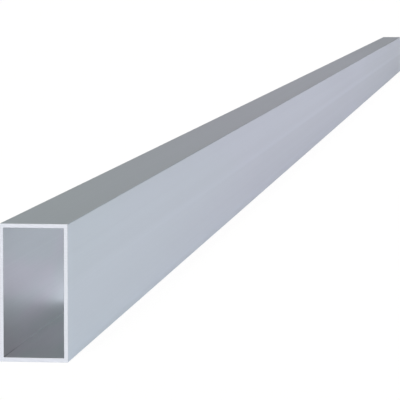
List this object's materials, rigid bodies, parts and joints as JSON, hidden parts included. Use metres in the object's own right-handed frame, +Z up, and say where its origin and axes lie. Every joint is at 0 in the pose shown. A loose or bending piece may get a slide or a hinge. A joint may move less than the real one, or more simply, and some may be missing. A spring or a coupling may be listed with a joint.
{
  "type": "rectangular aluminium tube",
  "caption": "Long rectangular hollow section of extruded aluminium with thin even walls, near-sharp corners and square sawn, deburred open ends, for frames and fabrication.",
  "frame": {"origin": "middle of the underside, halfway along the length, on the surface that the tube lies on", "axes": "+Y along the length, away from the end that the picture shows; +X across the narrow side, towards the side wall that the picture shows; +Z up the tall side"},
  "size_m": [0.05, 6, 0.1],
  "materials": {
    "satin_anodised_aluminium": "satin natural anodised on the extruded faces, bright saw-cut on the two ends"
  },
  "bodies": {
    "root": {"rectangular_tube": "satin_anodised_aluminium"}
  },
  "joints": []
}
